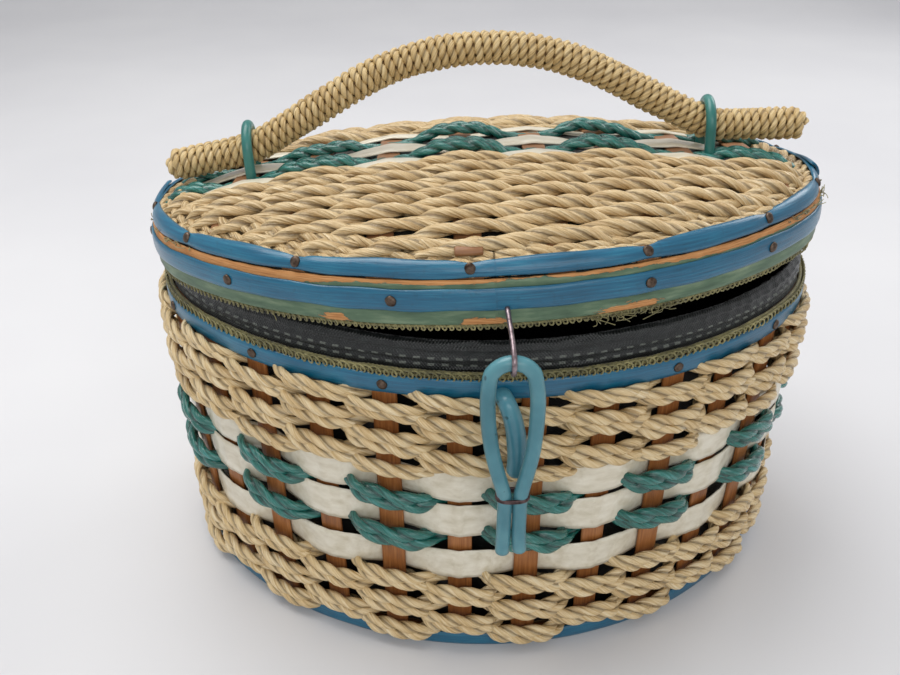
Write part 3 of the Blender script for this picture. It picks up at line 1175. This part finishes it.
def lid_white(node, y0, width, parity, seed):
    m = Mesh()
    hl = half_len(abs(y0) + width / 2, -4.0)
    x = np.arange(-hl, hl, 1.2)
    ph = np.cos(PI * ((x - X0S) / PX - parity))
    w = np.tanh(1.3 * ph) / math.tanh(1.3)
    h = -1.9 + 1.15 * w
    edge = np.clip((hl - np.abs(x)) / 9.0, 0, 1)
    loc = ((x - X0S) / PX - parity)
    loc = loc - 2 * np.round(loc / 2)
    h = h + 0.5 * np.exp(-(loc / 0.12) ** 2) - 1.3 * (1 - edge)
    M = 9
    pts = np.empty((len(x), 2 * M, 3)); att = np.empty_like(pts)
    wd = width * (0.86 + 0.14 * np.clip(ph, 0, 1))
    for j in range(M):
        v = -1 + 2 * j / (M - 1)
        y = y0 + v * wd / 2 + 0.3 * np.sin(x / 21 + seed)
        z = skin(x, y, 3.0) + h - 0.7 * abs(v) ** 3 + 0.15 * np.sin(x / 5.0 + j * 1.7 + seed) * abs(v)
        for dz, jj in ((0.28, j), (-0.28, 2 * M - 1 - j)):
            pts[:, jj, 0], pts[:, jj, 1], pts[:, jj, 2] = x, y, z + dz
            att[:, jj, 0], att[:, jj, 1], att[:, jj, 2] = x, y, seed
    b0 = m.grid(pts, att)
    m.cap(b0 + np.arange(2 * M), pts[0].mean(0), att[0, 0], flip=True)
    m.cap(b0 + (len(x) - 1) * 2 * M + np.arange(2 * M), pts[-1].mean(0), att[-1, 0])
    m.obj("w_" + node, m_white, "lid", (node,), True)


lid_white("lid_white_strip_1", -20.0, 11.0, 1, 221)
lid_white("lid_white_strip_2", 1.5, 13.0, 1, 222)
lid_white("lid_white_strip_3", 26.0, 11.0, 1, 223)

# lid splints: run front to back under the weave, with tabs below the binding
m = Mesh()
for k in range(-4, 5):
    xc = X0S + k * PX
    xx = abs(xc) + 4.0
    lim = 0.0
    for yy in np.arange(100, 0, -0.5):
        if half_len(yy, -5.2) > xx:
            lim = yy
            break
    y = np.arange(-lim, lim, 2.0)
    if len(y) < 4:
        continue
    sec = [(-1.0, -0.3), (-0.9, 0.0), (0.0, 0.12), (0.9, 0.0), (1.0, -0.3), (0.95, -1.2), (-0.95, -1.2)]
    pts = np.empty((len(y), 7, 3)); att = np.empty_like(pts)
    for j, (a, o) in enumerate(sec):
        pts[:, j, 0] = xc + a * 4.75
        pts[:, j, 1] = y
        lift = 4.4 * np.clip((-lim + 7 - y) / 4.0, 0, 1) if k == 0 else 0.0
        pts[:, j, 2] = skin(np.full_like(y, xc), y, 4.0) - 1.75 + o + lift
        att[:, j, 0], att[:, j, 1], att[:, j, 2] = y, a, k
    b0 = m.grid(pts, att)
    m.cap(b0 + np.arange(7), pts[0].mean(0), att[0, 0], flip=True)
    m.cap(b0 + (len(y) - 1) * 7 + np.arange(7), pts[-1].mean(0), att[-1, 0])
    # end tabs that show between the binding and the hoop
    for sgn in (-1, 1):
        if abs(xc) > 118:
            continue
        sv = np.arange(-PER / 4, PER / 4, 0.25) + (0 if sgn < 0 else PER / 2)
        sv = np.mod(sv, PER)
        s_c = sv[np.argmin(np.abs(oval(sv, -1.5)[0] - xc))]
        g = np.random.default_rng(300 + k * 3 + sgn)
        drop = g.uniform(-0.4, 0.5)
        rows = []
        for (u, z) in ((-1.5, 157.4 + drop), (-1.5, 158.6), (-2.1, 161.0), (-3.4, 162.6)):
            ring = []
            for (a, t) in ((-4.75, 0.0), (-4.4, 0.5), (4.4, 0.5), (4.75, 0.0), (4.4, -0.5), (-4.4, -0.5)):
                qx, qy, _, _ = oval(np.array([s_c + a]), np.array([u + t]))
                ring.append((qx[0], qy[0], z))
            rows.append(ring)
        P = np.array(rows)
        att = np.zeros(P.shape)
        b0 = m.grid(P, att)
        m.cap(b0 + np.arange(6), P[0].mean(0), (0, 0, 0), flip=True)
        m.cap(b0 + 3 * 6 + np.arange(6), P[3].mean(0), (0, 0, 0))
m.obj("lid_splints", m_stake_lid, "lid", ("lid_stakes",), True)

# lid lining: quilted sheet under the weave
m = Mesh()
xs = np.linspace(-1, 1, 97)
ysn = np.linspace(-1, 1, 73)
sr = np.arange(0, PER, 4.0)
ox, oy, _, _ = oval(sr, -2.0)
fr = [1.0, 0.985, 0.965] + list(np.linspace(0.94, 0.06, 24))
rings = []
for side in (0, 1):
    for f in (fr[::-1] if side == 0 else fr):
        px, py = ox * f, oy * f
        q = 1.5 * (np.abs(np.sin((px + py) / 11.0) * np.sin((px - py) / 11.0)) + 0.01) ** 0.5 * np.clip((1 - f) / 0.06, 0, 1)
        zt = dome(px, py) - rear_drop(px, py) - 4.0 - 3.2 * np.exp(-(np.clip(inset(px, py) - 4.5, 0, 90) / 8.0) ** 1.3)
        z = zt if side == 0 else zt - 1.0 - q
        rings.append(np.stack([px, py, z], -1))
pts = np.array(rings).transpose(1, 0, 2)
att = np.empty(pts.shape)
att[..., 0], att[..., 1], att[..., 2] = pts[..., 0], pts[..., 1], 0
b0 = m.grid(pts, att, closed_i=True, closed_j=False)
nj, ns = pts.shape[1], len(sr)
m.cap(b0 + np.arange(ns) * nj, pts[:, 0].mean(0), (0, 0, 0))
m.cap(b0 + np.arange(ns) * nj + nj - 1, pts[:, -1].mean(0), (0, 0, 0), flip=True)
m.obj("lid_quilting", m_lining, "lid", ("lid_lining",), True)

# ---------------------------------------------------------------- handle
HR, SL, BX, TX = 112.0, math.radians(28), 95.0, 133.0
HTOP = 215.4
BZ = HTOP - HR * (1 - math.cos(SL)) - (BX - HR * math.sin(SL)) * math.tan(SL)
ED = math.radians(5)


def handle_centre(n=400):
    a = np.linspace(0, SL, 60)
    x = [HR * np.sin(a)]
    z = [HTOP - HR * (1 - np.cos(a))]
    br = 30.0
    tl = br * math.tan((SL - ED) / 2)
    x2, z2 = BX - tl * math.cos(SL), BZ + tl * math.sin(SL)
    t = np.linspace(0, 1, 40)[1:]
    x.append(x[0][-1] + (x2 - x[0][-1]) * t)
    z.append(z[0][-1] + (z2 - z[0][-1]) * t)
    b = np.linspace(SL, ED, 30)[1:]
    cx_, cz_ = x2 + br * math.sin(SL), z2 + br * math.cos(SL)
    x.append(cx_ - br * np.sin(b))
    z.append(cz_ - br * np.cos(b))
    x3, z3 = x[-1][-1], z[-1][-1]
    xe = TX - 2
    x.append(x3 + (xe - x3) * t)
    z.append(z3 - (xe - x3) * t * math.tan(ED))
    x, z = np.concatenate(x), np.concatenate(z)
    X = np.concatenate([-x[::-1][:-1], x])
    Z = np.concatenate([z[::-1][:-1], z])
    # bent by use: the right end stands out further and higher than the left one
    Z = Z - 0.07 * np.clip(-X - BX, 0, 99) + 0.055 * np.clip(X - BX, 0, 99)
    X = np.where(X > BX, BX + (X - BX) * 1.10, X)
    P = np.stack([X, 0 * X, Z], -1)
    L, tot = arclen(P)
    s = np.linspace(0, tot, n)
    return np.stack([np.interp(s, L, P[:, k]) for k in range(3)], -1), tot


HC, HLEN = handle_centre()
m = Mesh()
coil = 3.55
turns = HLEN / coil
npt = int(turns * 28)
tt = np.linspace(0, 1, npt)
ci = np.stack([np.interp(tt, np.linspace(0, 1, len(HC)), HC[:, k]) for k in range(3)], -1)
tg, nn, bb = frames(HC, np.tile(np.array([0, 0, 1.0]), (len(HC), 1)))
nn = np.stack([np.interp(tt, np.linspace(0, 1, len(HC)), nn[:, k]) for k in range(3)], -1)
bb = np.stack([np.interp(tt, np.linspace(0, 1, len(HC)), bb[:, k]) for k in range(3)], -1)
ang = 2 * PI * turns * tt
R0 = 5.05
endd = np.minimum(tt, 1 - tt) * HLEN
R0v = R0 * np.sqrt(np.clip(endd / 2.4, 0.12, 1)) + 0.18 * np.sin(tt * 61) * 0.5
dirv = nn * np.cos(ang)[:, None] + bb * np.sin(ang)[:, None]
path = ci + dirv * R0v[:, None]
circ = 2 * PI * R0
cord(m, path, dirv, 2.05, circ / 4.02, 0.0, 10, False, rid=3.0, flat=0.9)
m.obj("rope_wrap", m_rope, "handle", ("handle_wrap",), True)
m = Mesh()
tube(m, HC[7:-7], np.tile(np.array([0, 0, 1.0]), (len(HC) - 14, 1)), 3.9, 16)
m.obj("handle_cane", m_board, "handle", ("handle_core",), True)

LOOP_Z = BZ + 0.2
LOOP_Z0 = LOOP_Z
for sx, nm, ldx, ldz in ((-1, "left", -1.6, -0.5), (1, "right", -0.8, 0.2)):
    LOOP_Z = LOOP_Z0 + ldz
    a = np.linspace(0, PI, 40)
    r = 9.95
    yy = r * np.cos(a)
    zz5 = LOOP_Z + r * np.sin(a)
    legs = np.linspace(LOOP_Z - 10.0, LOOP_Z, 8)[:-1]
    y_all = np.concatenate([np.full(7, r), yy, np.full(7, -r)])
    z_all = np.concatenate([legs, zz5, legs[::-1]])
    x_all = sx * BX + ldx + 0.0 * y_all + 0.8 * np.sin(a.mean()) * y_all / 10.7 * sx
    path = np.stack([x_all, y_all, z_all], -1)
    up = np.tile(np.array([1.0, 0, 0]), (len(path), 1))
    m = Mesh()
    tube(m, path, up, 2.1, 18)
    m.obj("grip_loop_" + nm, m_loop, "lid", ("handle_loop_" + nm,), True)

# loose threads where the braid and the woven edge have frayed
m = Mesh()
g = np.random.default_rng(77)
spots = [(g.uniform(28, 66), -0.4, 140.6, 1.0, -1) for _ in range(26)] + [(g.uniform(120, 205), 0.6, 157.6, 1.0, 1) for _ in range(44)] \
    + [(g.uniform(-190, -120), 0.4, 157.8, 0.8, 1) for _ in range(14)] + [(g.uniform(-PER / 2, PER / 2), -0.4, 140.6, 0.6, -1) for _ in range(18)]
for (s0, u0, z0, sc_, dr) in spots:
    ln = g.uniform(3, 9) * sc_
    d_s, d_u, d_z = g.normal(0, 0.7), abs(g.normal(0, 0.35)), dr * abs(g.normal(0.4, 0.4)) * (0.5 if dr > 0 else 1)
    tt3 = np.linspace(0, 1, 9)
    cs, cu, cz = g.normal(0, 1.3, 3)
    s_ = s0 + ln * (d_s * tt3) + cs * np.sin(PI * tt3)
    u_ = u0 + ln * d_u * 0.5 * tt3 + 0.3 * abs(cu) * np.sin(PI * tt3)
    z_ = z0 + ln * d_z * 0.6 * tt3 + 0.6 * cz * np.sin(PI * tt3)
    x, y, nx, ny = oval(s_, u_)
    path = np.stack([x, y, z_], -1)
    up = np.stack([nx, ny, np.full_like(nx, 0.2)], -1)
    tube(m, path, up, 0.16, 5, round_ends=False)
m.obj("loose_threads", m_gimp, "lid", (), True)

# ---------------------------------------------------------------- hinge rings
for sx, nm in ((-1, "left"), (1, "right")):
    m = Mesh()
    a = np.linspace(0, 2 * PI, 72, endpoint=False)
    path = np.stack([np.full_like(a, sx * 27.4), B + 7.5 * np.cos(a), 140 + 7.5 * np.sin(a)], -1)
    th = np.linspace(0, 2 * PI, 14, endpoint=False)
    rad = np.stack([0 * a, np.cos(a), np.sin(a)], -1)
    pts = path[:, None, :] + 0.9 * (rad[:, None, :] * np.cos(th)[None, :, None] + np.array([1.0, 0, 0])[None, None, :] * np.sin(th)[None, :, None])
    m.grid(pts, np.zeros(pts.shape), closed_i=True)
    m.obj("wire_ring_" + nm, m_wire, "hinge_rings", ("hinge_ring_" + nm,), True)

# ---------------------------------------------------------------- clasp
hole = turned(np.array([[3.0, -104.3, 147.8]]))[0]
HK = np.array([3.5, -120.2, 154.05])
ctrl = [hole + [0, 2.6, 0], hole + [0.1, -1.5, 0.3], hole + [0.3, -4.2, -0.8], [3.2, -117.4, 160.4], [3.5, -123.0, 157.3], [3.55, -124.2, 154.0], [3.5, -122.6, 151.0],
        [3.5, -119.6, 150.1], [3.5, -117.0, 151.6], [3.5, -116.3, 154.2], [3.5, -117.3, 156.4]]
wp = smooth_path(ctrl, 90)
m = Mesh()
tube(m, wp, np.tile(np.array([1.0, 0, 0]), (len(wp), 1)), 0.9, 12)
m.obj("bent_wire", m_wire, "clasp_wire", ("clasp_wire",))

zc = HK[2] - 7.45
a = np.linspace(0, PI, 18)
mid = lambda z: HK[0] + 1.4 * min(1.0, max(0.0, (150 - z) / 52.0))
half_w = [(72.6, 2.95), (80, 2.8), (90, 2.7), (97.5, 2.72), (103, 3.6), (110, 5.3), (118, 6.9), (127, 7.9), (136, 8.3), (142, 8.1)]
left = [(mid(z) - w, z) for z, w in half_w]
arch = [(HK[0] - 7.55 * math.cos(t), zc + 7.45 * math.sin(t)) for t in np.linspace(0.3, PI - 0.3, 9)]
right = [(mid(z) + w, z) for z, w in half_w[::-1]]
right[-1] = (right[-1][0] + 0.3, right[-1][1] + 0.8)
pp = [(x, HK[1] + 0.35 * math.sin(z / 9.0), z) for x, z in left + arch + right]
lp = smooth_path(pp, 150)
m = Mesh()
tube(m, lp, np.tile(np.array([0, -1.0, 0]), (len(lp), 1)), 2.62, 20, round_ends=False)
m.obj("soft_loop", m_clasp, "clasp_loop", ("clasp_loop",))
m = Mesh()
a = np.linspace(0, 2 * PI * 2.6, 110)
tx, tz = 5.6 * np.sign(np.cos(a)) * np.abs(np.cos(a)) ** 0.75, 98.1 + 1.5 * a / (2 * PI * 2.6) + 0.3 * np.sin(a)
ty = HK[1] + 3.0 * np.sign(np.sin(a)) * np.abs(np.sin(a)) ** 0.8
path = np.stack([HK[0] + 1.4 + tx, ty, tz], -1)
tube(m, path, np.tile(np.array([0, 0, 1.0]), (len(path), 1)), 0.55, 8)
m.obj("wire_tie", m_tie, "clasp_loop", ("clasp_tie",))

pc = smooth_path([(1.6, -104.3, 130.6), (2.2, -107.8, 131.4), (3.2, -110.4, 130.2), (5.0, -111.4, 125), (6.4, -111.5, 117), (7.0, -111.5, 109), (6.8, -111.4, 103.5)], 60)
m = Mesh()
tube(m, pc, np.tile(np.array([1.0, 0, 0]), (len(pc), 1)), 3.15 + 0.5 * np.clip(np.linspace(-0.2, 1.5, 60), 0, 1), 20)
m.obj("soft_peg", m_peg, "basket", ("clasp_peg",))

# ---------------------------------------------------------------- stage, light, camera
def floor_mat():
    mat, nt, bs = node_mat("pale_table")
    n = noise(nt, geo_pos(nt), 3.0, 3.0)
    link(nt, ramp(nt, n, [(0.3, srgb(212, 212, 215)), (0.7, srgb(220, 220, 222))]).outputs[0], bs.inputs["Base Color"])
    bs.inputs["Roughness"].default_value = 0.55
    bs.inputs["Specular IOR Level"].default_value = 0.25
    return mat


me = bpy.data.meshes.new("table_top")
v, f = [], []
prof_y = [(-2.2, 0), (1.0, 0), (1.25, 0.0), (1.5, 0.03), (1.75, 0.13), (1.95, 0.33), (2.05, 0.6), (2.08, 1.0), (2.08, 3.2)]
for (yy, zz6) in prof_y:
    v += [(-4.0, yy, zz6), (4.0, yy, zz6)]
for i in range(len(prof_y) - 1):
    f.append((2 * i, 2 * i + 1, 2 * i + 3, 2 * i + 2))
me.from_pydata(v, [], f)
me.materials.append(floor_mat())
me.polygons.foreach_set("use_smooth", [True] * len(me.polygons))
fl = bpy.data.objects.new("table_top", me)
bpy.context.scene.collection.objects.link(fl)

world = bpy.data.worlds.new("studio")
bpy.context.scene.world = world
world.use_nodes = True
bg = world.node_tree.nodes["Background"]
bg.inputs[0].default_value = (0.985, 0.985, 1.0, 1)
bg.inputs[1].default_value = 0.56


def area(name, loc, target, size, power, col=(1, 1, 1)):
    ld = bpy.data.lights.new(name, "AREA")
    ld.shape = "RECTANGLE"
    ld.size, ld.size_y = size
    ld.energy = power
    ld.color = col
    o = bpy.data.objects.new(name, ld)
    o.location = loc
    o.rotation_euler = (Vector(target) - Vector(loc)).to_track_quat("-Z", "Y").to_euler()
    bpy.context.scene.collection.objects.link(o)


area("key", (-0.35, 0.25, 1.25), (0, 0, 0.1), (1.1, 0.8), 12, (1.0, 0.99, 0.97))
area("fill", (0.2, -1.3, 0.9), (0, 0, 0.1), (1.2, 0.6), 5.0, (1.0, 1.0, 1.0))
area("rim", (0.9, 0.8, 0.8), (0, 0, 0.12), (0.6, 0.6), 4, (1.0, 1.0, 1.0))

cam = bpy.data.cameras.new("photo_camera")
cam.sensor_width = 36.0
cam.lens = 890.42 / 900 * 36.0
co = bpy.data.objects.new("photo_camera", cam)
yaw, pit, rho = 0.012, -0.5347, -0.0051
fwd = Vector((math.sin(yaw) * math.cos(pit), math.cos(yaw) * math.cos(pit), math.sin(pit)))
rt = fwd.cross(Vector((0, 0, 1))).normalized()
upv = rt.cross(fwd)
r2 = rt * math.cos(rho) + upv * math.sin(rho)
u2 = -rt * math.sin(rho) + upv * math.cos(rho)
rot = Matrix((r2, u2, -fwd)).transposed().to_4x4()
co.matrix_world = Matrix.Translation(Vector((-0.0195455, -0.359689, 0.3054184))) @ rot
bpy.context.scene.collection.objects.link(co)
bpy.context.scene.camera = co

bpy.context.scene.view_settings.view_transform = "Standard"
bpy.context.scene.view_settings.exposure = 0.0
